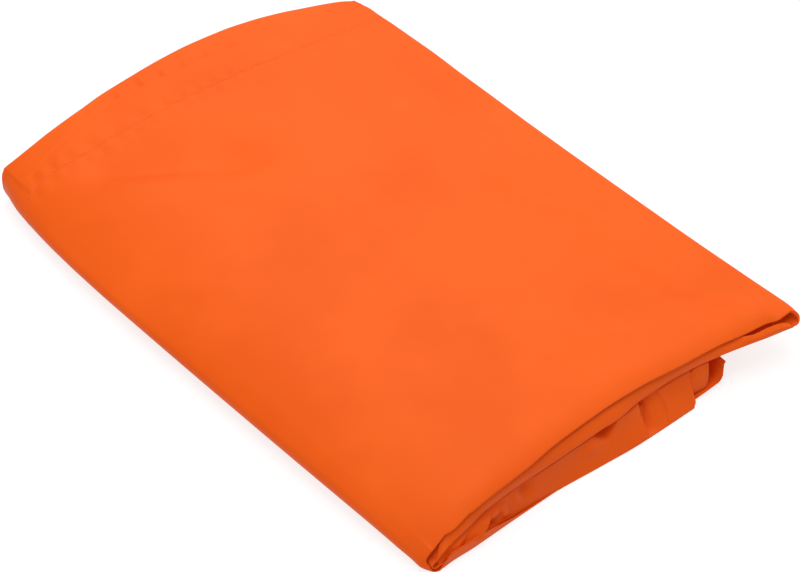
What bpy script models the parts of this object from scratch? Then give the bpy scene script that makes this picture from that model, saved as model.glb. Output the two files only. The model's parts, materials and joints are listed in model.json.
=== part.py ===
"""Blaze orange fabric muff, a flat open-ended sleeve folded in half like a book.

Metres, +Z up. The fold runs along Y on the -X side, the faced hand opening is at +Y, and the
turned-in end is at -Y. Two leaves turn about the fold: lower_leaf lies still, upper_leaf opens.
"""
from math import cos, pi, sin

import bpy
from mathutils import Vector

# Plan of the folded muff, before it is centred on the origin
FOLD_NEAR = Vector((-0.1012, -0.1590))     # hinge line at the turned-in end
FOLD_FAR = Vector((-0.1130, 0.1700))       # hinge line at the hand opening
UPPER_RIGHT = 0.1190                       # open side of the upper leaf
LOWER_RIGHT_NEAR = 0.0800                  # open side of the lower leaf, which lies askew
LOWER_RIGHT_FAR = 0.1130
UPPER_NEAR_LEFT = -0.1580
UPPER_NEAR_RIGHT = -0.1635
UPPER_NEAR_BOW = 0.0107                    # the near edge bows in at its middle
UPPER_BACK_SHOWS = 0.0040                  # the layer below comes this far out from under the top one
LOWER_NEAR = -0.1590
LOWER_NEAR_SKEW = -0.0040
FAR_LEFT = 0.1740
FAR_RIGHT = 0.1665
FAR_BOW = 0.0210                           # the shaped hem bows out at its middle
PLAN_CENTRE = Vector((-0.00175, 0.01196))   # middle of the box round everything, moved to x = y = 0

# Heights above the surface that the muff lies on
TOP = 0.0250
AXIS_HEIGHT = 0.0080                       # the hinge line runs through the middle of the fold
OUTER_FOLD = 0.0080                        # half height of the outer cloth's turn
FOLD_BULGE = 0.0078                        # how far the outer cloth stands out from the hinge line
FOLD_SWELL = 0.0048                        # more than that where it stands out furthest
FOLD_PINCH = 0.0033                        # the swell is taken back over the last part of the fold
PINCH_START = 0.8500
SWELL_LEAN = 1.8                           # above 1 moves the swell towards the hand opening
BOW_FULLNESS = 0.9                         # below 1 makes the hem's bow fuller at its sides
INNER_FOLD = 0.0030                        # half height of the inner cloth's turn
UPPER_BACK = 0.0165
TUCKED_TOP = 0.0146
LOWER_BACK = 0.0092
FAR_LIFT = 0.0050                          # the hem gapes open at its middle
GAPE_START = 0.1100                        # from here towards the hem
DROOP = 0.0500                             # width of the slope down to the fold
LOWER_SLOPE = 0.0300                       # the same on the lower leaf's inner layer

# Cloth and sewing
CLOTH = 0.0008
FACING = 0.0006
GAP = 0.0004                               # air between layers that touch on the real object
HEM = 0.0250
HEM_START = 0.0060                         # hem strips begin this far from the hinge line
RAW_EDGE = 0.0090                          # raw edge turned in under the hem facing
SEAM_ALLOWANCE = 0.0150
THREAD_RADIUS = 0.00035
SIDE_TURN = 0.0030                         # radius of the turn along each leaf's open side
SIDE_LIP = 0.0060                          # cloth beyond that turn, up to the side seam
STRIP_INSET = 0.0010                       # hem facings stop this far short of the cloth's edge
STITCH_INSET = 0.0020                      # stitching runs this far inside the hem
END_CLEARANCE = 0.0040                     # inner pieces stop this far short of an edge
SIDE_CLEARANCE = 0.0060                    # the side strips stop this far short of the hem

# The turned-in end
TUCKED_LEFT = 0.0080                       # distance from the hinge line
TUCKED_LOW = 0.0095                        # its height there
TUCKED_RIGHT = 0.0660
TUCKED_INSIDE = 0.0200                     # how far along Y the turned-in cloth reaches
TUCKED_RETURN = -0.1080
ROLL_DEPTH = 0.0080
ROLL_BOTTOM = 0.0020
PLEAT_DEPTH = 0.0015
PLEATS = 5
TUCKED_FACING = 0.0160                     # width of the facing along its open side
TUCKED_STITCHING = 0.0180                  # distance of its stitching from that side

# Mesh density of the sheets
SLOPE_COLUMNS = 7
FLAT_COLUMNS = 8
ALONG = 11
TURN_STEPS = 5

ORANGE = (0.95, 0.16, 0.035, 1.0)
DEEP_ORANGE = (0.72, 0.09, 0.012, 1.0)
THREAD_ORANGE = (0.85, 0.20, 0.06, 1.0)


def clear_scene():
    """Remove every object that the file starts with."""
    for item in list(bpy.data.objects):
        bpy.data.objects.remove(item, do_unlink=True)


def make_material(name, colour, roughness):
    """Plain coated cloth or thread."""
    material = bpy.data.materials.new(name)
    material.use_nodes = True
    shader = material.node_tree.nodes["Principled BSDF"]
    shader.inputs["Base Color"].default_value = colour
    shader.inputs["Roughness"].default_value = roughness
    shader.inputs["Metallic"].default_value = 0.0
    return material


def ease(t):
    """Smooth step from 0 to 1."""
    t = min(max(t, 0.0), 1.0)
    return t * t * (3.0 - 2.0 * t)


def mix(a, b, t):
    return a + (b - a) * t


def steps(start, stop, count):
    return [mix(start, stop, i / (count - 1)) for i in range(count)]


COLUMNS = steps(0.0, 1.0, SLOPE_COLUMNS) + steps(1.0, 2.0, FLAT_COLUMNS)[1:]


def fold_x(y):
    """X of the hinge line at a place along it."""
    return mix(FOLD_NEAR.x, FOLD_FAR.x, (y - FOLD_NEAR.y) / (FOLD_FAR.y - FOLD_NEAR.y))


def fold_bulge(v):
    """How far the outer cloth stands out from the hinge line, fullest past mid length."""
    pinch = ease((v - PINCH_START) / (1.0 - PINCH_START))
    return FOLD_BULGE + FOLD_SWELL * sin(pi * v ** SWELL_LEAN) - FOLD_PINCH * pinch


def upper_near(u):
    return mix(UPPER_NEAR_LEFT, UPPER_NEAR_RIGHT, u) + UPPER_NEAR_BOW * sin(pi * u)


def lower_near(u):
    return LOWER_NEAR + LOWER_NEAR_SKEW * u


def far_edge(u):
    return mix(FAR_LEFT, FAR_RIGHT, u) + FAR_BOW * sin(pi * u) ** BOW_FULLNESS


def far_gape(x, y):
    """Lift of the upper leaf's outer cloth towards the middle of the hand opening."""
    across = min(max((x - fold_x(y)) / (UPPER_RIGHT - fold_x(y)), 0.0), 1.0)
    return FAR_LIFT * sin(pi * across) * max((y - GAPE_START) / (FAR_LEFT - GAPE_START), 0.0)


def fraction_across(column):
    """Fraction of a leaf's width at a column: 0 to 1 on the slope, 1 to 2 on the flat."""
    slope_part = DROOP / (UPPER_RIGHT - FOLD_FAR.x)
    if column <= 1.0:
        return slope_part * column
    return mix(slope_part, 1.0, column - 1.0)


def column_x(column, y, start, right):
    """X of a column, which lies at the same place in every layer's slope."""
    fold = fold_x(y)
    if column <= 1.0:
        return fold + max(start, DROOP * column)
    return mix(fold + DROOP, right, column - 1.0)


def lower_right(v):
    return mix(LOWER_RIGHT_NEAR, LOWER_RIGHT_FAR, v)


# Outer surface of each cloth layer, as height at a plan place

def upper_face_height(x, y):
    slope = ease((x - fold_x(y)) / DROOP)
    return mix(AXIS_HEIGHT + OUTER_FOLD, TOP, slope) + far_gape(x, y)


def upper_back_height(x, y):
    slope = ease((x - fold_x(y)) / DROOP)
    return mix(AXIS_HEIGHT + INNER_FOLD, UPPER_BACK, slope)


def lower_face_height(x, y):
    return 0.0


def lower_back_height(x, y):
    return mix(AXIS_HEIGHT - INNER_FOLD, LOWER_BACK, ease((x - fold_x(y)) / LOWER_SLOPE))


def tucked_height(x, y):
    return mix(TUCKED_LOW, TUCKED_TOP, ease((x - fold_x(y) - TUCKED_LEFT) / DROOP))


def place(point):
    """Move a point from the plan's own axes to the object's frame."""
    return Vector((point[0] - PLAN_CENTRE.x, point[1] - PLAN_CENTRE.y, point[2]))


def add_object(name, data, leaf):
    """Put a sub-part in the collection, hung from its leaf's empty on the hinge line."""
    item = bpy.data.objects.new(name, data)
    parts.objects.link(item)
    item.parent = leaf
    item.matrix_parent_inverse = leaf.matrix_basis.inverted()
    return item


def sheet(name, leaf, material, point, us, vs, thickness, side):
    """Cloth: an open surface through point(u, v), thickened to the side given (1 or -1)."""
    rows = [[place(point(u, v)) for u in us] for v in vs]
    count = len(us)
    corners = [vertex for row in rows for vertex in row]
    faces = [
        (j * count + i, j * count + i + 1, (j + 1) * count + i + 1, (j + 1) * count + i)
        for j in range(len(vs) - 1)
        for i in range(count - 1)
    ]
    mesh = bpy.data.meshes.new(name)
    mesh.from_pydata(corners, [], faces)
    mesh.materials.append(material)
    item = add_object(name, mesh, leaf)
    solidify = item.modifiers.new("cloth", "SOLIDIFY")
    solidify.thickness = thickness
    solidify.offset = side
    mesh.shade_smooth()
    return item


def thread(name, leaf, points):
    """A row of stitching as one continuous thread."""
    curve = bpy.data.curves.new(name, "CURVE")
    curve.dimensions = "3D"
    curve.bevel_depth = THREAD_RADIUS
    curve.bevel_resolution = 1
    curve.use_fill_caps = True
    spline = curve.splines.new("POLY")
    spline.points.add(len(points) - 1)
    for spot, point in zip(spline.points, points):
        spot.co = (*place(point), 1.0)
    curve.materials.append(thread_material)
    return add_object(name, curve, leaf)


def leaf_sheet(name, leaf, near, right, height, turn, side):
    """One side of a leaf, with its open side turned over towards the other layer when turn isn't 0."""

    def point(column, v):
        u = fraction_across(min(column, 2.0))
        y = mix(near(u), far_edge(u), v)
        flat_right = right(v) - (SIDE_TURN if turn else 0.0)
        x = column_x(min(column, 2.0), y, GAP, flat_right)
        z = height(x, y)
        if column <= 2.0:
            return x, y, z
        angle = pi * min(column - 2.0, 1.0)
        lip = SIDE_LIP * max(column - 3.0, 0.0)
        return x + SIDE_TURN * sin(angle) - lip, y, z - turn * SIDE_TURN * (1.0 - cos(angle))

    columns = list(COLUMNS)
    if turn:
        columns += steps(2.0, 3.0, TURN_STEPS)[1:] + [4.0]
    return sheet(name, leaf, orange, point, columns, steps(0.0, 1.0, ALONG), CLOTH, side)


def hem_strip(name, leaf, right, height, depth, width, inset, thickness, side):
    """Strip along the far end, lying depth from the outer surface of its cloth."""
    right_limit = right(1.0) - SIDE_TURN - SIDE_LIP - END_CLEARANCE

    def point(column, v):
        inner = far_edge(fraction_across(column)) - inset - width
        y = mix(inner, inner + width, v)
        x = column_x(column, y, HEM_START, right_limit)
        return x, y, height(x, y) + depth

    return sheet(name, leaf, deep_orange, point, COLUMNS, (0.0, 0.5, 1.0), thickness, side)


def hem_thread(name, leaf, right, height, depth, inset):
    """Stitching that runs along the far end, following the hem."""
    right_limit = right(1.0) - SIDE_TURN - SIDE_LIP - END_CLEARANCE
    points = []
    for column in COLUMNS:
        y = far_edge(fraction_across(column)) - inset
        x = column_x(column, y, HEM_START, right_limit)
        points.append((x, y, height(x, y) + depth))
    return thread(name, leaf, points)


def beside_open_side(near, v):
    """Fraction along the leaf, and Y, of a place between the near end and the hem."""
    y = mix(near(1.0) + END_CLEARANCE, far_edge(1.0) - HEM - SIDE_CLEARANCE, v)
    return (y - near(1.0)) / (far_edge(1.0) - near(1.0)), y


def side_strip(name, leaf, near, right, height, depth, width, thickness, side):
    """Seam allowance that lies along a leaf's open side, inside the sleeve."""

    def point(u, v):
        along, y = beside_open_side(near, v)
        edge = right(along) - SIDE_TURN - GAP
        return edge - width * (1.0 - u), y, height(edge, y) + depth

    return sheet(name, leaf, deep_orange, point, (0.0, 0.5, 1.0), steps(0.0, 1.0, ALONG), thickness, side)


def side_thread(name, leaf, near, right, z):
    """Stitching of the side seam, where the turned lip meets the leaf's other layer."""
    points = []
    for v in steps(0.0, 1.0, ALONG):
        along, y = beside_open_side(near, v)
        points.append((right(along) - SIDE_TURN - SIDE_LIP, y, z))
    return thread(name, leaf, points)


def fold_turn(name, half_height, bulge, near, inset):
    """Cloth that turns round the fold from the lower leaf to the upper one."""

    def point(u, v):
        y = mix(near(0.0), far_edge(0.0) - inset, v)
        angle = pi * u
        x = fold_x(y) - bulge(v) * sin(angle)
        return x, y, AXIS_HEIGHT - half_height * cos(angle)

    us = steps(0.0, 1.0, 2 * TURN_STEPS)
    return sheet(name, lower_leaf, orange, point, us, steps(0.0, 1.0, ALONG), CLOTH, -1)


def tucked_point(u, v):
    """Turned-in end: v runs from inside, over the roll at the near end, and back underneath."""
    left = fold_x(LOWER_NEAR) + TUCKED_LEFT
    x = mix(left, TUCKED_RIGHT, u)
    roll_y = lower_near(u) + ROLL_DEPTH
    top = tucked_height(x, roll_y)
    if v <= 1.0:
        y = mix(TUCKED_INSIDE, roll_y, v)
        return x, y, tucked_height(x, y)
    if v <= 2.0:
        angle = pi * (v - 1.0)
        pleat = PLEAT_DEPTH * sin(angle) * sin(2.0 * pi * PLEATS * u)
        centre = (top + ROLL_BOTTOM) / 2.0
        z = centre + (top - ROLL_BOTTOM) / 2.0 * cos(angle)
        return x, roll_y - (ROLL_DEPTH - PLEAT_DEPTH + pleat) * sin(angle), z
    return x, mix(roll_y, TUCKED_RETURN, v - 2.0), ROLL_BOTTOM


def make_tucked_end():
    """The sleeve's other end, folded back between the leaves, with its own stitched edge."""
    vs = steps(0.0, 1.0, 5) + steps(1.0, 2.0, 9)[1:] + [2.5, 3.0]
    us = steps(0.0, 1.0, 4 * PLEATS + 1)
    sheet("tucked_end_panel", lower_leaf, orange, tucked_point, us, vs, CLOTH, 1)

    def facing_point(u, v):
        y = mix(TUCKED_INSIDE, LOWER_NEAR + ROLL_DEPTH + END_CLEARANCE, v)
        x = TUCKED_RIGHT - TUCKED_FACING * (1.0 - u)
        return x, y, tucked_height(x, y) - CLOTH - GAP

    vs = steps(0.0, 1.0, 5)
    sheet("tucked_end_facing", lower_leaf, deep_orange, facing_point, (0.0, 0.5, 1.0), vs, FACING, 1)
    x = TUCKED_RIGHT - TUCKED_STITCHING
    z = TUCKED_TOP - CLOTH - GAP - THREAD_RADIUS
    ends = steps(TUCKED_INSIDE, LOWER_NEAR + ROLL_DEPTH + END_CLEARANCE, 5)
    thread("tucked_end_thread", lower_leaf, [(x, y, z) for y in ends])


def upper_right(v):
    return UPPER_RIGHT


def upper_back_right(v):
    return UPPER_RIGHT - SIDE_TURN - SIDE_LIP - GAP


def upper_back_near(u):
    return upper_near(u) - UPPER_BACK_SHOWS


def lower_back_right(v):
    return lower_right(v) - SIDE_TURN - SIDE_LIP - GAP


def lower_back_near(u):
    return lower_near(u) + ROLL_DEPTH + END_CLEARANCE


def make_upper_leaf():
    face, back, right = upper_face_height, upper_back_height, upper_right
    leaf_sheet("upper_face_panel", upper_leaf, upper_near, right, face, 1.0, -1)
    leaf_sheet("upper_back_panel", upper_leaf, upper_back_near, upper_back_right, back, 0.0, -1)
    under = -CLOTH - GAP
    raw_inset = HEM - RAW_EDGE - STITCH_INSET
    hem_strip("upper_hem_raw_edge", upper_leaf, right, face, under, RAW_EDGE, raw_inset, FACING, -1)
    below_raw_edge = under - FACING - GAP
    strip = HEM - STRIP_INSET
    hem_strip("upper_hem_facing", upper_leaf, right, face, below_raw_edge, strip, STRIP_INSET, FACING, -1)
    stitching = HEM - STITCH_INSET
    hem_thread("upper_hem_thread", upper_leaf, right, face, GAP + THREAD_RADIUS, stitching)
    hem_strip("upper_back_hem_facing", upper_leaf, right, back, GAP, strip, STRIP_INSET, FACING, 1)
    hem_thread("upper_back_hem_thread", upper_leaf, right, back, under - THREAD_RADIUS, stitching)
    side_strip("upper_side_allowance", upper_leaf, upper_near, right, face, under, SEAM_ALLOWANCE, FACING, -1)
    lip_top = TOP - 2.0 * SIDE_TURN + CLOTH
    side_thread("upper_side_thread", upper_leaf, upper_near, right, lip_top + GAP + THREAD_RADIUS)


def make_lower_leaf():
    face, back, right = lower_face_height, lower_back_height, lower_right
    leaf_sheet("lower_face_panel", lower_leaf, lower_near, right, face, -1.0, 1)
    leaf_sheet("lower_back_panel", lower_leaf, lower_back_near, lower_back_right, back, 0.0, -1)
    inside = CLOTH + GAP
    strip = HEM - STRIP_INSET
    hem_strip("lower_hem_facing", lower_leaf, right, face, inside, strip, STRIP_INSET, FACING, 1)
    beyond_facing = HEM + 2.0 * THREAD_RADIUS
    hem_thread("lower_hem_thread", lower_leaf, right, face, inside + THREAD_RADIUS, beyond_facing)
    hem_strip("lower_back_hem_facing", lower_leaf, right, back, -inside, strip, STRIP_INSET, FACING, -1)
    hem_thread("lower_back_hem_thread", lower_leaf, right, back, GAP + THREAD_RADIUS, HEM - STITCH_INSET)
    side_strip("lower_side_allowance", lower_leaf, lower_near, right, face, inside, SEAM_ALLOWANCE, FACING, 1)


def inner_bulge(v):
    return INNER_FOLD


def inner_near(u):
    return lower_near(u) + END_CLEARANCE


def make_leaf_empty(name):
    """Empty on the hinge line, halfway along it."""
    middle = (FOLD_NEAR + FOLD_FAR) / 2.0
    empty = bpy.data.objects.new(name, None)
    empty.location = place((middle.x, middle.y, AXIS_HEIGHT))
    parts.objects.link(empty)
    return empty


clear_scene()
parts = bpy.data.collections.new("hand_warmer_muff")
bpy.context.scene.collection.children.link(parts)
orange = make_material("orange_cloth", ORANGE, 0.55)
deep_orange = make_material("facing_cloth", DEEP_ORANGE, 0.6)
thread_material = make_material("thread", THREAD_ORANGE, 0.5)
lower_leaf = make_leaf_empty("lower_leaf")
upper_leaf = make_leaf_empty("upper_leaf")
bpy.context.view_layer.update()
make_upper_leaf()
make_lower_leaf()
make_tucked_end()
fold_turn("outer_fold_turn", OUTER_FOLD, fold_bulge, lower_near, 0.0)
fold_turn("inner_fold_turn", INNER_FOLD, inner_bulge, inner_near, END_CLEARANCE)
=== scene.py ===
"""Looks of the folded orange muff: thin coated cloth in layers, turned round a fold on the left.

The near end (-Y) shows the layers' edges, the far end (+Y) is the faced, stitched hand opening.
Each layer is a grid of points: its columns run along the object, one after another across it.
"""

import json
from math import cos, pi, radians, sin

import bpy
import numpy as np
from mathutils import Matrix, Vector


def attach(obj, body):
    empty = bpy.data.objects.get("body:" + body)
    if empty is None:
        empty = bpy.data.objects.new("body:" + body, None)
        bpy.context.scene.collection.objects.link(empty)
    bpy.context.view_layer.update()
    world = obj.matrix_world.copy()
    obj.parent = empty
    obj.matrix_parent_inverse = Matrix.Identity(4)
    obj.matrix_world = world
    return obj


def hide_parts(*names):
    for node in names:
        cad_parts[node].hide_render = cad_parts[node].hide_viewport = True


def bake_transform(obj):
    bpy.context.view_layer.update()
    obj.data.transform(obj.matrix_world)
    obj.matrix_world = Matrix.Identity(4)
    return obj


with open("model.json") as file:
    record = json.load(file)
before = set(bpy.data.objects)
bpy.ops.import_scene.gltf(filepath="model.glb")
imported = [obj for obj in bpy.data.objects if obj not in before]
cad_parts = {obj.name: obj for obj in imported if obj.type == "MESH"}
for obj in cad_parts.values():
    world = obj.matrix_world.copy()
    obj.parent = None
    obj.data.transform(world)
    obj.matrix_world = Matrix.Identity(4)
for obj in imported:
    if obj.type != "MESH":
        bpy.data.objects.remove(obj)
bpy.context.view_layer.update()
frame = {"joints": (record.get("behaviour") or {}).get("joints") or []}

# ---------------------------------------------------------------- sizes, in metres

hinge = next(joint for joint in frame["joints"] if joint["name"] == "book_fold")
HINGE = Vector(hinge["pos_m"])
FOLD_SLOPE = hinge["axis"][0] / hinge["axis"][1]
NEAR_EDGE = -0.167  # the near end, from which heights fade
NEAR_Y, FAR_Y = -0.1690, 0.1620  # where the near and far ends of a column are placed across
HEM_Y = 0.142  # where the hem line is placed across
SIDE_NEAR_Y, SIDE_FAR_Y = -0.170, 0.155  # ends of the lower leaf's open side
SEAM_NEAR_Y, SEAM_FAR_Y = -0.164, 0.118  # ends of the side seams' allowances

# heights
TOP = 0.0250
FOLD_TOP = 0.0163  # the outer cloth straight above the hinge line
FOLD_REACH = 0.056  # the top cloth slopes down to the fold over this width
FOLD_SLOPE_POWER = 2.4
BACK = 0.0165  # the upper leaf's lower layer
BACK_AT_FOLD = 0.0110
LOWER_BACK = 0.0092  # the lower leaf's inner layer
FLOOR_SIDE = 0.0002  # the bottom cloth's outer side
TUCK_GAP = 0.0011  # from the upper leaf down to the turned-in end
LIP_HEIGHT = 0.0182  # lower lip of the turn along the open side

# widths
LOWER_RIGHT_NEAR = 0.0822  # right side of the lower leaf at its near and far end
LOWER_RIGHT_FAR = 0.1150
TURNED_UP = 0.0088  # width of the bottom cloth that turns up there
LOWER_LEFT = 0.0020  # left edge of the bottom cloth, from the fold
CORNER_START, CORNER_END = 0.0725, 0.0810  # its near right corner, where the side turns up
SECOND_RIGHT = 0.0705  # right edge of the lower leaf's inner layer, near end and far end
SECOND_RIGHT_FAR = 0.1060
SECOND_LEFT = 0.0136  # its left edge, from the fold
TUCK_LEFT, TUCK_RIGHT = -0.0990, 0.0567  # sides of the turned-in end
TUCK_FAR_Y = 0.020  # its raw end between the leaves
TUCK_UNDER_Y = -0.125  # and how far it goes in below its near wall
MARGIN = 0.003  # cloth beyond the fold, on the lower leaf
INNER_MARGIN = 0.014
INNER_BULGE = 0.0030  # how far the inner cloth stands out round the fold
TURN = 0.0036  # radius of the turn along the open side
LIP_WIDTH = 0.009  # what is turned in along the open side
ALLOWANCE = 0.015  # seam allowance
RIM_RADIUS = 0.0005  # roll of a cut or folded edge

CLOTH = 0.0003
STITCH = 0.0026
STITCH_GAP = 0.0007
STITCH_RADIUS = 0.00015


# ---------------------------------------------------------------- small helpers

def smooth(t):
    """0 below 0, 1 above 1, an even S between."""
    t = np.clip(t, 0.0, 1.0)
    return t * t * (3.0 - 2.0 * t)


def mix(a, b, t):
    return a + (b - a) * t


def bump(distance, width):
    """1 at distance 0, falling to 0 over about twice the width."""
    return np.exp(-((distance / width) ** 2))


def through(*points):
    """Smooth function through a few (place, value) points, never over- or undershooting them."""
    places, values = np.array(points, float).T
    steepness = np.diff(values) / np.diff(places)
    same_way = steepness[:-1] * steepness[1:] > 0.0
    total = np.where(same_way, steepness[:-1] + steepness[1:], 1.0)
    middle = np.where(same_way, 2.0 * steepness[:-1] * steepness[1:] / total, 0.0)
    slopes = np.concatenate([steepness[:1], middle, steepness[-1:]])

    def value(place):
        place = np.clip(place, places[0], places[-1])
        i = np.clip(np.searchsorted(places, place) - 1, 0, len(places) - 2)
        step = places[i + 1] - places[i]
        t = (place - places[i]) / step
        rise = (3.0 - 2.0 * t) * t * t
        lean = slopes[i] * t * (1.0 - t) ** 2 - slopes[i + 1] * t * t * (1.0 - t)
        return mix(values[i], values[i + 1], rise) + step * lean

    return value


def steps(start, stop, count):
    return np.linspace(start, stop, count)


def stack(x, y, z):
    """Points from their coordinates, each an array or one number."""
    return np.stack(np.broadcast_arrays(x, y, z), axis=-1)


# ---------------------------------------------------------------- outlines in plan

def fold_x(y):
    """X of the hinge line."""
    return HINGE.x + (y - HINGE.y) * FOLD_SLOPE


near_top = through(
    (-0.1000, -0.1656), (-0.0950, -0.1650), (-0.0919, -0.1647), (-0.0905, -0.1654), (-0.0872, -0.1659),
    (-0.0843, -0.1658), (-0.0813, -0.1655), (-0.0786, -0.1653), (-0.0768, -0.1657), (-0.0700, -0.1658),
    (-0.0583, -0.1657), (-0.0465, -0.1652), (-0.0220, -0.1626), (0.0095, -0.1617), (0.0288, -0.1624),
    (0.0524, -0.1650), (0.0774, -0.1672), (0.0914, -0.1696), (0.1040, -0.1716), (0.1109, -0.1744),
    (0.1194, -0.1746),
)
near_back = through(
    (-0.1020, -0.1702), (-0.0970, -0.1690), (-0.0895, -0.1684), (-0.0788, -0.1674), (-0.0682, -0.1662),
    (-0.0495, -0.1661), (-0.0255, -0.1664), (0.0010, -0.1662), (0.0101, -0.1666), (0.0280, -0.1649),
    (0.0404, -0.1649), (0.0592, -0.1662), (0.0758, -0.1695), (0.0928, -0.1738), (0.1183, -0.1804),
)
near_lower = through(
    (-0.0991, -0.1701), (-0.0918, -0.1698), (-0.0796, -0.1703), (-0.0545, -0.1701), (-0.0300, -0.1702),
    (0.0000, -0.1713), (0.0540, -0.1716), (0.0660, -0.1722), (0.0745, -0.1724), (0.0810, -0.1690),
)
lip_height = through(
    (-0.1000, 0.0003), (-0.0965, 0.0035), (-0.0918, 0.0064), (-0.0800, 0.0066), (-0.0690, 0.0050),
    (-0.0630, 0.0036), (-0.0530, 0.0020), (-0.0370, 0.0010), (0.0000, 0.0003), (0.0820, 0.0001),
)
far_top = through(
    (-0.1094, 0.1664), (-0.1056, 0.1660), (-0.1007, 0.1658), (-0.0942, 0.1659), (-0.0840, 0.1668),
    (-0.0738, 0.1679), (-0.0599, 0.1698), (-0.0451, 0.1725), (-0.0244, 0.1747), (-0.0029, 0.1768),
    (0.0180, 0.1779), (0.0385, 0.1776), (0.0578, 0.1756), (0.0762, 0.1718), (0.0878, 0.1683),
    (0.0996, 0.1647), (0.1110, 0.1606), (0.1189, 0.1558),
)
open_side = through(
    (-0.1790, 0.1207), (-0.1720, 0.1216), (-0.1620, 0.1213), (-0.1470, 0.1209), (-0.1000, 0.1202),
    (-0.0400, 0.1203), (0.0060, 0.1207), (0.0400, 0.1216), (0.0680, 0.1222), (0.0940, 0.1231),
    (0.1250, 0.1230), (0.1450, 0.1221), (0.1560, 0.1200),
)
hem_line = through(
    (-0.1240, 0.1310), (-0.1144, 0.1381), (-0.1035, 0.1420), (-0.0940, 0.1424), (-0.0660, 0.1416),
    (-0.0340, 0.1420), (0.0290, 0.1416), (0.0580, 0.1396), (0.0850, 0.1377), (0.1210, 0.1346),
)
raw_line = through(
    (-0.1100, 0.1480), (-0.0809, 0.1557), (-0.0595, 0.1608), (-0.0363, 0.1620), (0.0000, 0.1610),
    (0.0347, 0.1592), (0.0726, 0.1582), (0.0923, 0.1559), (0.1105, 0.1514),
)
fold_bulge = through(
    (-0.1720, 0.0027), (-0.1680, 0.0047), (-0.1655, 0.0061), (-0.1638, 0.0066), (-0.1600, 0.0067),
    (-0.1500, 0.0075), (-0.0850, 0.0099), (-0.0130, 0.0114), (0.0250, 0.0119), (0.0600, 0.0122),
    (0.0800, 0.0120), (0.1030, 0.0113), (0.1410, 0.0081), (0.1620, 0.0035),
)


# ---------------------------------------------------------------- heights

def near_fade(y, reach=0.030):
    """1 at the near end, falling to 0 along the object."""
    return np.exp(-np.maximum(y - NEAR_EDGE, 0.0) / reach)


near_drop = through(
    (-0.1070, 0.0004), (-0.0920, 0.0012), (-0.0780, 0.0022), (-0.0500, 0.0026), (0.0200, 0.0026),
    (0.0700, 0.0028), (0.0940, 0.0034), (0.1050, 0.0030), (0.1120, 0.0014), (0.1200, 0.0004),
)


def slope_out(t):
    t = np.clip(t, 0.0, 1.0)
    return 1.0 - (1.0 - t) ** FOLD_SLOPE_POWER


def fold_top(y):
    return FOLD_TOP - 0.0055 * near_fade(y)


def crease(x, y, start, end, right, left, height):
    """Shallow ridge from start to end that fades at its ends, its own width on each side."""
    run, rise = end[0] - start[0], end[1] - start[1]
    length = (run * run + rise * rise) ** 0.5
    part = ((x - start[0]) * run + (y - start[1]) * rise) / length ** 2
    side = ((y - start[1]) * run - (x - start[0]) * rise) / length
    width = np.where(side > 0.0, left, right)
    return height * bump(side, width) * smooth(part / 0.3) * smooth((1.0 - part) / 0.3)


CREASES = (  # start, end, width right and left of the way there, height
    ((-0.108, 0.147), (0.010, 0.064), 0.0105, 0.0200, -0.00420),
    ((-0.100, 0.118), (-0.030, 0.081), 0.0090, 0.0080, 0.00096),
    ((0.082, 0.104), (0.112, 0.012), 0.0090, 0.0120, -0.00128),
    ((0.066, -0.004), (0.108, -0.086), 0.0090, 0.0130, -0.00256),
    ((0.070, -0.070), (0.104, -0.132), 0.0080, 0.0110, -0.00240),
    ((0.082, -0.112), (0.112, -0.166), 0.0070, 0.0090, -0.00160),
    ((-0.010, -0.076), (0.028, -0.142), 0.0130, 0.0110, 0.00176),
    ((-0.030, -0.060), (-0.020, -0.130), 0.0150, 0.0150, -0.00096),
    ((-0.108, 0.036), (-0.070, 0.004), 0.0070, 0.0060, 0.00112),
    ((-0.040, 0.050), (0.050, 0.020), 0.0200, 0.0200, 0.00096),
)


def soft_waves(x, y):
    """Broad, shallow unevenness of cloth that was pressed flat over other layers."""
    wave = 0.0004 * np.sin(31.0 * x + 17.0 * y + 0.6) * np.sin(13.0 * y - 19.0 * x + 1.1)
    for mark in CREASES:
        wave = wave + crease(x, y, *mark)
    return wave


def hem_relief(x, y):
    """The hem's extra layers, the groove its stitches pull, the raw edge and the puckers."""
    line = y - hem_line(x)
    raw = y - raw_line(x)
    relief = 0.00026 * smooth((line + 0.0005) / 0.0017)
    relief -= 0.00004 * bump(line, 0.0008)
    relief += 0.00060 * smooth(line / 0.016) + 0.00020 * smooth((raw + 0.0002) / 0.0008)
    relief -= 0.00012 * bump(raw + 0.0006, 0.0008)
    pucker = np.sin(2.0 * pi * x / 0.0127 + 2.3 * np.sin(61.0 * x))
    relief += 0.00036 * pucker * bump(line - 0.0035, 0.0040)
    relief += 0.00022 * np.sin(2.0 * pi * x / 0.0105 + 1.0) * bump(line + 0.0040, 0.0040)
    dimple = smooth(np.sin(2.0 * pi * x / 0.0170 + 1.9 * np.sin(47.0 * x + 0.4)) * 1.6 - 0.5)
    middle = smooth((x + 0.070) / 0.02) * smooth((0.055 - x) / 0.02)
    return relief - 0.00085 * dimple * bump(raw - 0.0042, 0.0030) * middle


def top_height(x, y, hem=True):
    """Outer surface of the upper leaf's top cloth."""
    d = x - fold_x(y)
    base = fold_top(y)
    z = mix(base, TOP, slope_out(d / FOLD_REACH))
    across = np.clip(d / (open_side(y) - fold_x(y)), 0.0, 1.0)
    z = z + 0.0050 * np.sin(pi * across) * smooth((y - 0.095) / 0.080)
    z = z + soft_waves(x, y) * smooth(d / 0.040) * smooth((1.0 - across) / 0.1)
    near = np.clip(1.0 - (y - near_top(x)) / 0.0115, 0.0, 1.0)
    z = z - near_drop(x) * near ** 2.4
    if hem:
        z = z + hem_relief(x, y)
    return z


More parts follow.
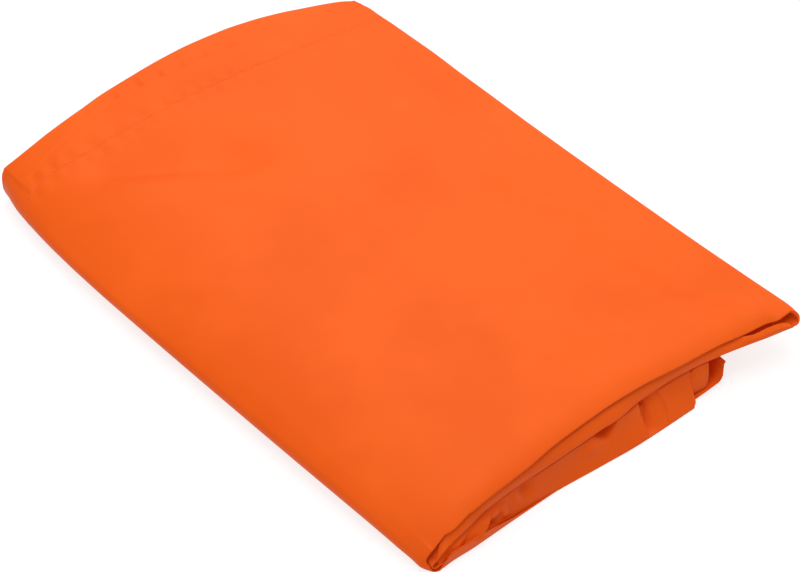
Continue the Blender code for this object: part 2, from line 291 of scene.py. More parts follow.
back_rise_near = through(
    (-0.001, 0.0036), (0.001, 0.0052), (0.004, 0.0074), (0.010, 0.0095), (0.020, 0.0114),
    (0.031, 0.0136), (0.049, BACK),
)


def back_height(x, y):
    """Outer (lower) surface of the upper leaf's second layer."""
    d = x - fold_x(y)
    z = mix(BACK_AT_FOLD, BACK, smooth(d / 0.046))
    z = mix(z, back_rise_near(d), near_fade(y, 0.040))
    z = z - 0.0025 * near_fade(y, 0.018) * smooth(d / 0.060) * smooth((0.098 - x) / 0.060)
    z = z + 0.0010 * smooth((x - 0.098) / 0.018)
    return z + 0.0004 * np.sin(37.0 * x + 1.0) * np.sin(23.0 * y) * smooth(d / 0.05)


def tuck_height(x, y):
    return back_height(x, y) - TUCK_GAP - 0.0012 * smooth((y + 0.150) / 0.05)


# extra height of the lower leaf's inner layer at its near right corner
second_rise = through(
    (0.0550, 0.0000), (0.0600, 0.0035), (0.0640, 0.0060), (0.0705, 0.0052),
)


def inner_low(y):
    """Height of the inner cloth where it leaves the lower leaf to turn round the fold."""
    return 0.0036 - 0.0014 * near_fade(y)


def lower_back_height(x, y):
    d = x - fold_x(y)
    flat = mix(inner_low(y), LOWER_BACK, smooth((d - 0.012) / 0.030))
    return flat + second_rise(x) * near_fade(y, 0.012)


# ---------------------------------------------------------------- materials

def principled(name, colour, roughness):
    material = bpy.data.materials.new(name)
    material.use_nodes = True
    tree = material.node_tree
    shader = tree.nodes["Principled BSDF"]
    shader.inputs["Base Color"].default_value = (*colour, 1.0)
    shader.inputs["Roughness"].default_value = roughness
    return material, tree, shader


def weave_bump(tree, shader, pitch, strength):
    """Plain weave: two crossed sets of threads."""
    nodes, links = tree.nodes, tree.links
    place = nodes.new("ShaderNodeTexCoord")
    sum_node = nodes.new("ShaderNodeMath")
    sum_node.operation = "ADD"
    for slot, direction in enumerate(("X", "Y")):
        wave = nodes.new("ShaderNodeTexWave")
        wave.wave_type = "BANDS"
        wave.bands_direction = direction
        wave.inputs["Scale"].default_value = 1.0 / pitch / 20.0
        wave.inputs["Distortion"].default_value = 0.4
        wave.inputs["Detail"].default_value = 1.0
        links.new(place.outputs["Object"], wave.inputs["Vector"])
        links.new(wave.outputs["Fac"], sum_node.inputs[slot])
    relief = nodes.new("ShaderNodeBump")
    relief.inputs["Strength"].default_value = strength
    relief.inputs["Distance"].default_value = 0.00006
    links.new(sum_node.outputs["Value"], relief.inputs["Height"])
    links.new(relief.outputs["Normal"], shader.inputs["Normal"])


PAINTED_GLOW = 0.07  # painted glow: the cloth gives off a faint constant red light that reddens its own shadows, standing in for the fluorescent dye and for light bounced between the orange layers


def cloth_material(name, colour, shade, roughness, weave):
    """Coated cloth: an even colour with faint broad patches and a very fine weave."""
    material, tree, shader = principled(name, colour, roughness)
    nodes, links = tree.nodes, tree.links
    place = nodes.new("ShaderNodeTexCoord")
    noise = nodes.new("ShaderNodeTexNoise")
    noise.inputs["Scale"].default_value = 14.0
    noise.inputs["Detail"].default_value = 4.0
    noise.inputs["Roughness"].default_value = 0.55
    links.new(place.outputs["Object"], noise.inputs["Vector"])
    ramp = nodes.new("ShaderNodeValToRGB")
    ramp.color_ramp.elements[0].position = 0.35
    ramp.color_ramp.elements[0].color = (*shade, 1.0)
    ramp.color_ramp.elements[1].position = 0.62
    ramp.color_ramp.elements[1].color = (*colour, 1.0)
    links.new(noise.outputs["Fac"], ramp.inputs["Fac"])
    links.new(ramp.outputs["Color"], shader.inputs["Base Color"])
    # painted glow: a constant red emission that lifts the cloth's shadows
    shader.inputs["Emission Color"].default_value = (1.0, 0.02, 0.0, 1.0)
    shader.inputs["Emission Strength"].default_value = PAINTED_GLOW
    shader.inputs["Specular IOR Level"].default_value = 0.16
    shader.inputs["Specular Tint"].default_value = (1.0, 0.70, 0.42, 1.0)
    shader.inputs["Sheen Tint"].default_value = (1.0, 0.40, 0.15, 1.0)
    shader.inputs["Sheen Weight"].default_value = 0.01
    shader.inputs["Sheen Roughness"].default_value = 0.4
    weave_bump(tree, shader, 0.00045, weave)
    return material


orange = cloth_material("orange_coated_cloth", (0.698, 0.096, 0.0066), (0.646, 0.083, 0.0046), 0.50, 0.15)
inside = cloth_material("orange_cloth_inside", (0.71, 0.074, 0.005), (0.68, 0.068, 0.004), 0.75, 0.3)
thread, _, _ = principled("orange_thread", (0.80, 0.118, 0.012), 0.6)


# ---------------------------------------------------------------- mesh builders

def mesh_object(name, vertices, faces, material):
    mesh = bpy.data.meshes.new(name)
    mesh.from_pydata(vertices, [], faces)
    mesh.materials.append(material)
    item = bpy.data.objects.new(name, mesh)
    bpy.context.scene.collection.objects.link(item)
    return item


def grid_object(name, grid, material, thickness=CLOTH):
    """Sheet through a grid of points, thickened away from its outer side."""
    rows, columns = grid.shape[:2]
    index = np.arange(rows * columns).reshape(rows, columns)
    corners = [index[:-1, :-1], index[:-1, 1:], index[1:, 1:], index[1:, :-1]]
    quads = np.stack(corners, axis=-1).reshape(-1, 4)
    item = mesh_object(name, grid.reshape(-1, 3).tolist(), quads.tolist(), material)
    item.data.shade_smooth()
    solidify = item.modifiers.new("cloth", "SOLIDIFY")
    solidify.thickness = thickness
    solidify.offset = -1.0
    return item


def path_lengths(points):
    return np.concatenate([[0.0], np.cumsum(np.linalg.norm(np.diff(points, axis=0), axis=1))])


def along(points, distance):
    lengths = path_lengths(points)
    return np.array([np.interp(distance, lengths, points[:, k]) for k in range(3)]).T


def stitches(name, path):
    """A row of lockstitches as short raised beads along a path."""
    total = path_lengths(path)[-1]
    count = int(total / (STITCH + STITCH_GAP))
    starts = np.arange(count) * (total / count)
    heads, tails = along(path, starts), along(path, starts + STITCH)
    rings, sides = 5, 6
    vertices, faces = [], []
    for head, tail in zip(heads, tails):
        direction = (tail - head) / np.linalg.norm(tail - head)
        side = np.cross(direction, (0.0, 0.0, 1.0))
        side /= np.linalg.norm(side)
        lift = np.cross(side, direction)
        base = len(vertices)
        for ring in range(rings):
            t = ring / (rings - 1)
            radius = STITCH_RADIUS * max(sin(pi * min(max(t, 0.08), 0.92)) ** 0.4, 0.2)
            centre = mix(head, tail, t) + lift * STITCH_RADIUS * 0.5 * sin(pi * t)
            for k in range(sides):
                angle = 2.0 * pi * k / sides
                vertices.append(centre + radius * (side * cos(angle) + lift * sin(angle)))
        for ring in range(rings - 1):
            for k in range(sides):
                a = base + ring * sides + k
                b = base + ring * sides + (k + 1) % sides
                faces.append((a, b, b + sides, a + sides))
        faces.append(tuple(base + k for k in reversed(range(sides))))
        faces.append(tuple(base + (rings - 1) * sides + k for k in range(sides)))
    item = mesh_object(name, [tuple(v) for v in vertices], faces, thread)
    item.data.shade_smooth()
    return item


def bend_over_fold(item):
    """Cloth that crosses the fold: bakes its placement into its mesh points."""
    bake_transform(item)


def rim(edge, inward, down, depth, rows):
    """Rows that roll an edge over and carry it down to its depth at each column."""
    out = edge - inward
    out /= np.linalg.norm(out, axis=-1, keepdims=True)
    angles = steps(0.0, 0.5 * pi, 5)[1:, None, None]
    roll = edge + RIM_RADIUS * np.sin(angles) * out + RIM_RADIUS * (1.0 - np.cos(angles)) * down
    left = np.maximum(depth - RIM_RADIUS, 0.0001)[None, :, None] * steps(0.0, 1.0, rows)[1:, None, None]
    return np.concatenate([roll, roll[-1:] + left * down])


def with_rims(grid, near, far=None):
    """Adds rows that turn the near and far edges of a sheet over, to these depths at each column."""
    down = np.cross(np.gradient(grid, axis=0), np.gradient(grid, axis=1))
    down /= np.linalg.norm(down, axis=-1, keepdims=True)
    parts = [rim(grid[0], grid[1], down[0], near, 5)[::-1], grid]
    if far is not None:
        parts.append(rim(grid[-1], grid[-2], down[-1], far, 3))
    return np.concatenate(parts)


def shell_rows(near, far, line):
    """Y of each row of a column: close rows at the near edge and over the hem line, even between."""
    edge = near + 0.0125 * steps(0.0, 1.0, 15) ** 1.3
    even = mix(near + 0.0140, line - 0.0045, steps(0.0, 1.0, 150))
    seam = line + steps(-0.0030, 0.0030, 15)
    hem = mix(line + 0.0042, far, steps(0.0, 1.0, 30))
    return np.concatenate([edge, even, seam, hem])


# ---------------------------------------------------------------- outer shell: top cloth, fold, margin

def turn_x(y):
    """Where the top cloth starts to turn over along the open side."""
    return open_side(y) - TURN


def top_edges(t):
    """Near and far ends and the hem line of the top cloth, a fraction t across it."""
    x_near = mix(fold_x(NEAR_Y), turn_x(NEAR_Y), t)
    x_far = mix(fold_x(FAR_Y), turn_x(FAR_Y), t)
    return near_top(x_near), far_top(x_far) - 0.0009, hem_line(mix(fold_x(HEM_Y), turn_x(HEM_Y), t))


def wrap_point(y, angle, out=0.0):
    """Point on the outer fold: angle -90 degrees is below the hinge line, 90 above it."""
    x = fold_x(y) - (fold_bulge(y) + out) * np.cos(angle)
    lean = FOLD_SLOPE_POWER * (TOP - fold_top(y)) / FOLD_REACH
    rise = smooth(2.0 * (angle / pi + 0.5) - 1.0)
    share = (0.5 + 0.5 * np.sin(angle)) ** (1.0 + 0.8 * near_fade(y, 0.012))
    z = mix(FLOOR_SIDE, fold_top(y), share) + out * np.sin(angle)
    return x, z + 0.9 * lean * (x - fold_x(y)) * rise


# near and far ends and hem line of the cloth round the fold, t from 0 below to 1 above
fold_near = through(
    (0.0, -0.1703), (0.25, -0.1695), (0.5, -0.1684), (0.57, -0.1677), (0.70, -0.1660),
    (0.80, -0.1656), (1.0, -0.1656),
)


def fold_far(t):
    below, beside = 0.1600, 0.1632
    start = mix(below, beside, smooth(t * 2.0))
    return start + (top_edges(0.0)[1] - beside) * smooth(t * 2.0 - 1.0)


def fold_hem_line(t):
    below, beside = 0.1340, 0.1320
    start = mix(below, beside, smooth(t * 2.0))
    return start + (top_edges(0.0)[2] - beside) * smooth(t * 2.0 - 1.0) ** 0.7


def make_outer_shell():
    columns, near_depth = [], []

    def column(near, far, line, place, depth):
        y = shell_rows(float(near), float(far), float(line))
        x, z = place(y)
        columns.append(stack(x, y, z))
        near_depth.append(float(depth))

    # what lies on the lower leaf
    for t in steps(0.0, 1.0, 5)[:-1]:
        x_near = fold_x(NEAR_Y) + MARGIN * (1.0 - t)
        column(near_lower(x_near), fold_far(0.0), 0.1400,
               lambda y, t=t: (fold_x(y) + MARGIN * (1.0 - t), FLOOR_SIDE), lip_height(x_near))
    # round the fold
    for t in steps(0.0, 1.0, 34)[:-1]:
        column(fold_near(t), fold_far(t), fold_hem_line(t),
               lambda y, t=t: wrap_point(y, pi * (t - 0.5)), mix(0.0004, 0.0012, t))
    # the top cloth
    for t in steps(0.0, 1.0, 190) ** 1.05:
        near, far, line = top_edges(t)

        def place(y, t=t):
            x = mix(fold_x(y), turn_x(y), t)
            return x, top_height(x, y)

        column(near, far, line, place, 0.0012)
    # the turn along the open side
    right_near, right_far, right_line = top_edges(1.0)
    end_near, lip_near = near_back(0.1183) + 0.0008, near_back(0.1060) + 0.0010
    end_far, lip_far = 0.1560, 0.1575
    for t in steps(0.0, 1.0, 17)[1:]:
        angle = pi * t
        near = mix(right_near, end_near, 1.0 - (1.0 - min(t * 1.1, 1.0)) ** 1.7)
        far = mix(right_far, end_far, smooth(t))

        def place(y, angle=angle):
            x = turn_x(y)
            start = top_height(x, np.maximum(y, right_near))
            return x + TURN * sin(angle), start - (start - LIP_HEIGHT) / 2.0 * (1.0 - cos(angle))

        column(near, far, right_line, place, 0.0016)
    # what is turned in there
    for t in steps(0.0, 1.0, 7)[1:]:
        column(mix(end_near, lip_near, t), mix(end_far, lip_far, t), right_line,
               lambda y, t=t: (turn_x(y) - LIP_WIDTH * t, LIP_HEIGHT - 0.0003 * t), 0.0010)
    far_depth = np.full(len(columns), 0.0012)
    grid = with_rims(np.stack(columns, axis=1), np.array(near_depth), far_depth)
    shell = grid_object("outer_shell", grid, orange)
    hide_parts("upper_face_panel", "outer_fold_turn")
    bend_over_fold(shell)
    return shell


# ---------------------------------------------------------------- second layer and inner fold

# how much of its full height the turned-up near face has at the left
face_share = through(
    (-0.1030, 0.00), (-0.1000, 0.16), (-0.0945, 0.80), (-0.0860, 1.0), (0.0880, 1.0), (0.1200, 1.0),
)
# height of its free edge where the open side shows it
free_edge_z = through(
    (0.0880, 0.0214), (0.0960, 0.0203), (0.1040, 0.0210), (0.1100, 0.0212), (0.1150, 0.0197),
    (0.1190, 0.0178),
)


def make_inner_shell():
    columns = []
    face_rows, bend_rows = 14, 7
    inset = 0.0046  # from the open side
    fold_near_x, fold_far_x = -0.1035, -0.1090  # where its ends are placed, round the fold

    def face_top(x_near, sheet_y, sheet_z):
        """Free edge of the turned-up near face: under the top cloth, then open at the right."""
        y = near_top(x_near) + 0.0012
        z = top_height(x_near, near_top(x_near), hem=False) - 0.0016
        opening = smooth((x_near - 0.084) / 0.012)
        y = mix(y, near_back(x_near) + 0.0016, opening)
        z = mix(z, free_edge_z(x_near), smooth((x_near - 0.086) / 0.010))
        share = face_share(x_near)
        return mix(sheet_y, y, share), mix(sheet_z, z, share)

    def column(place, x_near, x_far):
        far = far_top(x_far) - mix(0.0044, 0.0010, smooth((x_far + 0.0990) / 0.0100))
        bottom = float(near_back(x_near))
        y = mix(bottom + 0.0012, far, steps(0.0, 1.0, 150) ** 1.15)
        x, z = place(y)
        sheet = stack(x, y, z)
        top_y, top_z = face_top(x_near, bottom + 0.0004, z[0])
        rise = max(float(top_z - z[0]), 0.0003)
        radius = min(0.0010, rise * 0.4)
        angle = steps(0.0, 0.5 * pi, bend_rows)[1:]
        bend = stack(x[0], bottom + 0.0012 - radius * np.sin(angle), z[0] + radius * (1.0 - np.cos(angle)))
        t = steps(0.0, 1.0, face_rows)[1:]
        bulge = 0.0007 * np.sin(pi * t) * min(rise / 0.005, 1.0)
        curl = smooth((x_near - 0.084) / 0.02) * 0.0012 * smooth(t * 2.0 - 1.0)
        face = stack(x[0], mix(bend[-1, 1], top_y, t) - bulge + curl, mix(bend[-1, 2], top_z, t))
        columns.append(np.concatenate([face[::-1], bend[::-1], sheet]))

    # what lies on the lower leaf
    for t in steps(0.0, 1.0, 6)[:-1]:
        x_near = fold_x(NEAR_Y) - 0.0042
        column(lambda y, t=t: (fold_x(y) + INNER_MARGIN * (1.0 - t), inner_low(y)), x_near, fold_far_x)
    # round the fold
    for t in steps(0.0, 1.0, 15)[:-1]:
        angle = pi * (t - 0.5)

        def place(y, angle=angle):
            low = inner_low(y)
            high = back_height(fold_x(y), y)
            return fold_x(y) - INNER_BULGE * cos(angle), mix(low, high, (1.0 + sin(angle)) / 2.0)

        column(place, mix(fold_near_x, fold_x(NEAR_Y), t), fold_far_x)
    # the second layer
    for t in steps(0.0, 1.0, 190) ** 1.1:

        def place(y, t=t):
            x = mix(fold_x(y), open_side(y) - inset, t)
            return x, back_height(x, y)

        x_near = mix(fold_x(NEAR_Y), open_side(-0.175) - inset, t)
        column(place, x_near, mix(fold_x(FAR_Y), open_side(0.155) - inset, t))
    grid = np.stack(columns, axis=1)[:, ::-1]
    layer = grid_object("inner_shell", grid, orange)
    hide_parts("upper_back_panel", "inner_fold_turn")
    bend_over_fold(layer)
    return layer


# ---------------------------------------------------------------- lower leaf

def lower_right(y):
    """X of the crease where the bottom cloth starts to turn up."""
    along_side = (y - SIDE_NEAR_Y) / (SIDE_FAR_Y - SIDE_NEAR_Y)
    return mix(LOWER_RIGHT_NEAR, LOWER_RIGHT_FAR, along_side) - TURNED_UP


def lower_rise(x, y):
    """Height of the bottom cloth, which lifts a little beside its turned-up side."""
    return 0.0024 * smooth((x - lower_right(y) + 0.022) / 0.026) * near_fade(y, 0.04) + 0.0001


def make_lower_face():
    """Bottom cloth: its near edge curls up at the left, and its open side turns up."""
    columns, near_depth = [], []

    def column(place, x_near, x_far, depth):
        near = float(near_lower(x_near))
        y = mix(near, far_top(x_far) - 0.0015, steps(0.0, 1.0, 100) ** 1.2)
        x, z = place(y)
        columns.append(stack(x, y, z))
        near_depth.append(float(depth))

    # flat on the surface
    for t in steps(0.0, 1.0, 150):
        x_near = mix(fold_x(NEAR_Y) + LOWER_LEFT, CORNER_START, t)
        x_far = mix(fold_x(FAR_Y) + LOWER_LEFT, lower_right(FAR_Y), t)

        def place(y, t=t):
            x = mix(fold_x(y) + LOWER_LEFT, lower_right(y), t)
            return x, lower_rise(x, y)

        column(place, x_near, x_far, lip_height(x_near))
    # the side that turns up: how far out from its crease, and how far up
    profile = ((0.0010, 0.0003), (0.0022, 0.0012), (0.0036, 0.0028), (0.0052, 0.0047), (0.0068, 0.0065),
               (0.0076, 0.0072), (0.0070, 0.0074), (0.0060, 0.0066), (0.0048, 0.0054))
    for along_x, up in profile:

        def place(y, along_x=along_x, up=up):
            x = lower_right(y)
            return x + along_x, lower_rise(x, y) + up

        x_near = mix(CORNER_START, CORNER_END, min(up / 0.0064, 1.0))
        column(place, x_near, lower_right(FAR_Y) + along_x, 0.0006)
    grid = with_rims(np.stack(columns, axis=1)[:, ::-1], np.array(near_depth)[::-1])
    layer = grid_object("lower_face_sheet", grid, orange)
    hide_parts("lower_face_panel")
    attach(layer, "lower_leaf")
    return layer


def make_lower_back():
    """The lower leaf's inner layer, whose near end hangs down; its corner shows at the right."""
    near = through((-0.100, -0.1620), (0.040, -0.1640), (0.060, -0.1660), (0.075, -0.1682))
    columns = []
    for t in steps(0.0, 1.0, 120):
        x_near = mix(fold_x(NEAR_Y) + SECOND_LEFT, SECOND_RIGHT, t)
        y0 = float(near(x_near))
        x_far = mix(fold_x(FAR_Y) + SECOND_LEFT, SECOND_RIGHT_FAR, t)
        y = mix(y0 + 0.0010, far_top(x_far) - 0.0012, steps(0.0, 1.0, 80) ** 1.2)
        right_edge = mix(SECOND_RIGHT, SECOND_RIGHT_FAR, (y + 0.168) / 0.325)
        x = mix(fold_x(y) + SECOND_LEFT, right_edge, t)
        z = lower_back_height(x, y)
        angle = steps(0.0, 0.5 * pi, 6)[1:]
        bend = stack(x[0], y0 + 0.0010 - 0.0010 * np.sin(angle), z[0] - 0.0010 * (1.0 - np.cos(angle)))
        s = steps(0.0, 1.0, 14)[1:]
        wall = stack(x[0] - 0.0036 * s, y0 - 0.0036 * s - 0.0006 * np.sin(pi * s),
                     mix(bend[-1, 2], 0.0022, s))
        columns.append(np.concatenate([wall[::-1], bend[::-1], stack(x, y, z)]))
    grid = np.stack(columns, axis=1)
    layer = grid_object("lower_back_sheet", grid, orange)
    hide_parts("lower_back_panel")
    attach(layer, "lower_leaf")
    return layer


# ---------------------------------------------------------------- turned-in end with its pleats

# bottom edge of its near wall
wall_low_y = through(
    (-0.0975, -0.1692), (-0.0730, -0.1690), (-0.0320, -0.1706), (-0.0050, -0.1730), (0.0190, -0.1749),
    (0.0370, -0.1753), (0.0580, -0.1755),
)
wall_low_z = through(
    (-0.0990, 0.0020), (-0.0900, 0.0040), (-0.0730, 0.0034), (-0.0550, 0.0014), (-0.0400, 0.0005),
    (0.0580, 0.0002),
)
# x of its stitched seam, from the wall's top to its bottom
seam_line = through((0.0, 0.0378), (0.3, 0.0394), (0.6, 0.0398), (1.0, 0.0380))


def ridge(x, place, left, right):
    """Crease standing out at a place, with its own width on each side."""
    width = np.where(x < place, left, right)
    return np.maximum(1.0 - np.abs(x - place) / width, 0.0)


def window(t, start, end, soft):
    return smooth((t - start) / soft) * smooth((end - t) / soft)


def pleats(x, t):
    """Outward relief of the near wall, t from its top 0 to its bottom 1."""
    # the deep step at the right
    lean = x + 0.0014 * t
    step = smooth((lean - 0.0266) / 0.0014)
    relief = -0.0085 * step * (1.0 - smooth((lean - 0.0278) / 0.0056)) * (1.0 - t) ** 0.5
    relief -= 0.0022 * step * (1.0 - smooth((lean - 0.0300) / 0.0100)) * (1.0 - t) ** 0.5
    relief += 0.0011 * bump(lean - 0.0235, 0.0050) * (1.0 - 0.6 * t)
    # the pointed dent in the middle
    left, right = mix(-0.0045, 0.0028, t / 0.52), mix(0.0115, 0.0032, t / 0.52)
    dent = smooth((x - left) / 0.0070) * smooth((right - x) / 0.0016)
    relief += -0.0125 * dent * smooth((0.52 - t) / 0.34)
    relief += 0.0013 * bump(x + 0.0065, 0.0050) * bump(t - 0.30, 0.22)
    # the stitched seam and the fine fold beside it
    seam = x - seam_line(t)
    relief += 0.00035 * smooth((seam + 0.0002) / 0.0005) - 0.00045 * bump(seam + 0.0002, 0.0004)
    relief -= 0.00040 * bump(seam + 0.0030 - 0.0012 * t, 0.0008) * window(t, 0.05, 0.95, 0.15)
    # the big pleat at the left, and the small creases round it
    pleat = mix(-0.0690, -0.0765, t)
    relief += 0.0034 * ridge(x, pleat, 0.0095, 0.0034) * smooth(t / 0.25)
    relief -= 0.0016 * bump(x - pleat - 0.0050, 0.0036) * smooth((t - 0.42) / 0.12)
    relief += 0.0018 * bump(x + 0.0660, 0.0050) * window(t, 0.05, 0.62, 0.16)
    relief += 0.0016 * ridge(x, -0.0602 + 0.001 * t, 0.0020, 0.0034) * window(t, 0.1, 0.9, 0.2)
    relief += 0.0014 * bump(x + 0.0520, 0.0028) * bump(t - 0.33, 0.20)
    relief -= 0.0022 * bump(x + 0.0460, 0.0036) * smooth((0.65 - t) / 0.4)
    relief += 0.0014 * ridge(x, -0.0865 - 0.003 * t, 0.0050, 0.0060) * window(t, 0.0, 1.0, 0.3)
    relief += 0.0004 * np.sin(2.0 * pi * (x / 0.041 + 0.2)) * np.sin(pi * t)
    return relief * smooth((1.0 - t) / 0.10)


def wall_place(x, s):
    """Point of the near wall at x, s from 0 at its top to 1 at its bottom."""
    top_y, low_y = near_back(x) + 0.0008, wall_low_y(x)
    top_z = tuck_height(x, top_y)
    low_z = np.minimum(wall_low_z(x), top_z - 0.0008)
    shift = 0.0040 * (1.0 - s) * smooth((x - 0.028) / 0.028)
    return x + shift, mix(top_y, low_y, s ** 1.25) - pleats(x, s), mix(top_z, low_z, s)


def make_tucked_end():
    columns = []
    wall_rows = 60
    s = steps(0.0, 1.0, wall_rows)
    flat = steps(TUCK_LEFT, TUCK_RIGHT - 0.0012, 420)

    def column(x_mean, x_shift=0.0, y_shift=0.0):
        x_wall, y_wall, z_wall = wall_place(x_mean, s)
        top_y, top_z = y_wall[0] + 0.0016, z_wall[0] + 0.0004
        y = mix(TUCK_FAR_Y, top_y, steps(0.0, 1.0, 26) ** 0.8)
        inner = stack(x_wall[0] + x_shift, y, tuck_height(x_mean, y) + 0.0004)
        inner[-1, 2] = top_z
        corner = smooth((s - 0.86) / 0.14) * smooth((x_mean - TUCK_RIGHT + 0.004) / 0.004)
        x_wall = x_wall + x_shift - 0.0018 * corner
        wall = stack(x_wall, y_wall + y_shift, z_wall)
        u = steps(0.0, 1.0, 8)[1:]
        under_y = mix(y_wall[-1] + y_shift + 0.0006, TUCK_UNDER_Y, u)
        under = stack(x_wall[-1], under_y, z_wall[-1] + 0.0001)
        columns.append(np.concatenate([inner, wall, under]))

    for x_mean in flat:
        column(float(x_mean))
    for angle in steps(0.0, 0.8 * pi, 9)[1:]:
        column(float(flat[-1]), 0.0012 * sin(angle), 0.0010 * (1.0 - cos(angle)))
    grid = np.stack(columns, axis=1)[:, ::-1]
    layer = grid_object("tucked_end_sheet", grid, orange)
    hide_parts("tucked_end_panel")
    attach(layer, "lower_leaf")
    return layer


# ---------------------------------------------------------------- strips, allowances and stitching

def finish_strip(name, node, body, columns, flipped):
    grid = np.stack(columns, axis=1)
    if flipped:
        grid = grid[:, ::-1]
    item = grid_object(name, grid, inside, thickness=CLOTH * 0.8)
    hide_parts(node)
    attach(item, body)
    return item


def hem_strip(name, node, body, x_range, start, inset, height, offset):
    """Facing along the far end, from a start line up to a small inset from the edge."""
    columns = []
    for x in steps(x_range[0], x_range[1], 60):
        y = mix(start(x), far_top(x) - inset, steps(0.0, 1.0, 10))
        columns.append(stack(x, y, height(x, y) + offset))
    return finish_strip(name, node, body, columns, offset < 0.0)


def side_strip(name, node, body, edge, height, offset):
    """Seam allowance along the open side."""
    y = steps(SEAM_NEAR_Y, SEAM_FAR_Y, 60)
    columns = []
    for s in steps(0.0, 1.0, 8):
        x = edge(y) - ALLOWANCE * (1.0 - s)
        columns.append(stack(x, y, height(x, y) + offset))
    return finish_strip(name, node, body, columns, offset < 0.0)


def stitch_row(name, node, body, path):
    item = stitches(name, path)
    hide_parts(node)
    if body:
        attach(item, body)
    return item


def hem_path(height, lift, x_range):
    x = steps(x_range[0], x_range[1], 500)
    y = hem_line(x)
    return stack(x, y, height(x, y) + lift)


def wrapped_hem_path():
    """The hem's stitching on the top cloth, carried down round the fold."""
    t = steps(0.20, 1.0, 60)[:-1]
    y = fold_hem_line(t)
    x, z = wrap_point(y, pi * (t - 0.5), out=0.00012)
    flat = hem_path(top_height, 0.00001, (float(x[-1]) + 0.0006, float(turn_x(0.135))))
    return np.concatenate([stack(x, y, z), flat])


def floor_height(x, y):
    return FLOOR_SIDE + 0.0 * x


outer_shell = make_outer_shell()
inner_shell = make_inner_shell()
lower_face = make_lower_face()
lower_back = make_lower_back()
tucked_end = make_tucked_end()

upper_facing = hem_strip("upper_hem_facing_strip", "upper_hem_facing", "upper_leaf", (-0.098, 0.112),
                         lambda x: hem_line(x) - 0.001, 0.0016, top_height, -0.0016)
raw_edge = hem_strip("upper_hem_raw_edge_strip", "upper_hem_raw_edge", "upper_leaf", (-0.098, 0.112),
                     raw_line, 0.0020, top_height, -0.0010)
back_facing = hem_strip("upper_back_hem_facing_strip", "upper_back_hem_facing", "upper_leaf",
                        (-0.096, 0.110), hem_line, 0.0020, back_height, 0.0007)
lower_facing = hem_strip("lower_hem_facing_strip", "lower_hem_facing", "lower_leaf", (-0.090, 0.098),
                         hem_line, 0.0026, floor_height, 0.0008)
lower_back_facing = hem_strip("lower_back_hem_facing_strip", "lower_back_hem_facing", "lower_leaf",
                              (-0.090, 0.096), hem_line, 0.0022, lower_back_height, -0.0006)
upper_allowance = side_strip("upper_side_allowance_strip", "upper_side_allowance", "upper_leaf",
                             lambda y: turn_x(y) - 0.0004, top_height, -0.0008)
lower_allowance = side_strip("lower_side_allowance_strip", "lower_side_allowance", "lower_leaf",
                             lambda y: lower_right(y) - 0.0004, lower_rise, 0.0008)

hem_stitches = stitch_row("upper_hem_stitches", "upper_hem_thread", None, wrapped_hem_path())
bend_over_fold(hem_stitches)
back_hem_stitches = stitch_row("upper_back_hem_stitches", "upper_back_hem_thread", "upper_leaf",
                               hem_path(back_height, -CLOTH - 0.0001, (-0.096, 0.108)))
side_y = steps(SEAM_NEAR_Y - 0.004, SEAM_FAR_Y, 300)
side_stitches = stitch_row("upper_side_stitches", "upper_side_thread", "upper_leaf",
                           stack(turn_x(side_y) - 0.0050, side_y, 0.0 * side_y + LIP_HEIGHT + 0.0002))
lower_stitches = stitch_row("lower_hem_stitches", "lower_hem_thread", "lower_leaf",
                            hem_path(floor_height, 0.0010, (-0.088, 0.096)))
lower_back_stitches = stitch_row("lower_back_hem_stitches", "lower_back_hem_thread", "lower_leaf",
                                 hem_path(lower_back_height, 0.0001, (-0.088, 0.094)))


def make_tucked_hem():
    """Extra layer behind the turned-in end's right edge, and its row of stitching."""
    s = steps(0.0, 1.0, 60)
    columns = []
    for x in steps(TUCK_RIGHT - 0.020, TUCK_RIGHT - 0.0016, 24):
        x, y, z = wall_place(float(x), s)
        columns.append(stack(x, y + 0.0006, z))
    facing = finish_strip("tucked_end_facing_strip", "tucked_end_facing", "lower_leaf", columns, True)
    x, y, z = wall_place(seam_line(s), s)
    path = stack(x, y - 0.00008, z)[4:-2]
    return facing, stitch_row("tucked_end_stitches", "tucked_end_thread", "lower_leaf", path)


tucked_facing, tucked_stitches = make_tucked_hem()
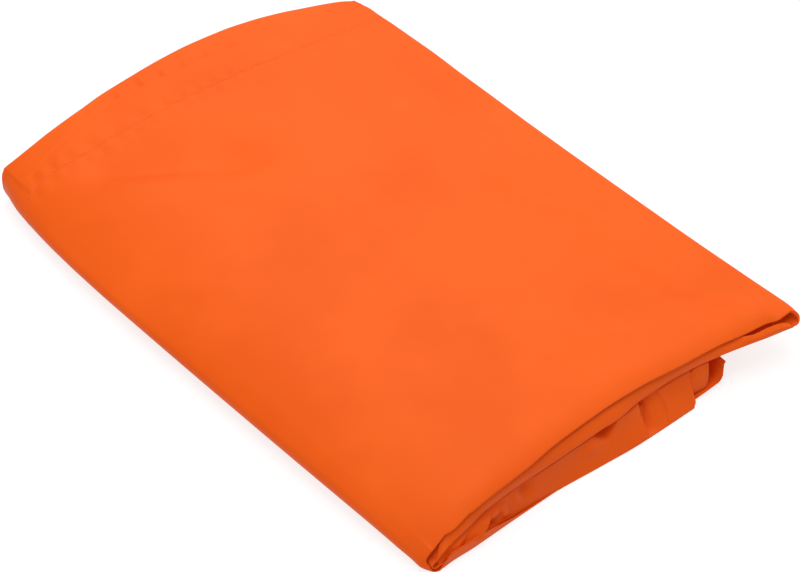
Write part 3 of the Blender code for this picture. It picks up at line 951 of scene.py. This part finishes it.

# ---------------------------------------------------------------- floor, light and camera

def make_floor():
    size = 4.0
    corners = [(-size, -size, 0.0), (size, -size, 0.0), (size, size, 0.0), (-size, size, 0.0)]
    material, _, shader = principled("pale_floor", (0.22, 0.22, 0.22), 0.9)
    shader.inputs["Specular IOR Level"].default_value = 0.0
    shader.inputs["Emission Color"].default_value = (1.0, 1.0, 1.0, 1.0)
    shader.inputs["Emission Strength"].default_value = 0.78
    floor = mesh_object("floor", corners, [(0, 1, 2, 3)], material)
    floor.location.z = -0.0003


def make_world():
    world = bpy.data.worlds.new("studio")
    world.use_nodes = True
    background = world.node_tree.nodes["Background"]
    background.inputs["Color"].default_value = (1.0, 1.0, 1.0, 1.0)
    background.inputs["Strength"].default_value = 0.38
    bpy.context.scene.world = world


def area_light(name, power, size, place, target):
    lamp = bpy.data.lights.new(name, "AREA")
    lamp.energy = power
    lamp.shape = "DISK"
    lamp.size = size
    item = bpy.data.objects.new(name, lamp)
    item.location = place
    item.rotation_euler = (Vector(target) - Vector(place)).to_track_quat("-Z", "Y").to_euler()
    bpy.context.scene.collection.objects.link(item)


def make_camera():
    camera = bpy.data.cameras.new("camera")
    camera.lens = 82.67
    camera.sensor_width = 36.0
    item = bpy.data.objects.new("camera", camera)
    azimuth, elevation, distance = radians(-40.0), radians(43.6), 0.8883
    target = Vector((-0.0147, -0.0425, TOP))
    back = Vector((sin(azimuth) * cos(elevation), -cos(azimuth) * cos(elevation), sin(elevation)))
    item.location = target + back * distance
    item.rotation_euler = (-back).to_track_quat("-Z", "Y").to_euler()
    bpy.context.scene.collection.objects.link(item)
    bpy.context.scene.camera = item


make_floor()
make_world()
area_light("overhead", 11.9, 1.2, (0.05, 0.15, 1.3), (0.0, 0.0, 0.0))
area_light("far_side", 3.3, 0.8, (0.50, 0.60, 0.80), (0.0, 0.0, 0.0))
area_light("right_fill", 3.4, 0.8, (1.0, -0.2, 0.7), (0.0, 0.0, 0.0))
area_light("left_fill", 3.1, 0.8, (-0.9, -0.4, 0.8), (0.0, 0.0, 0.0))
make_camera()
bpy.context.scene.view_settings.view_transform = "Standard"
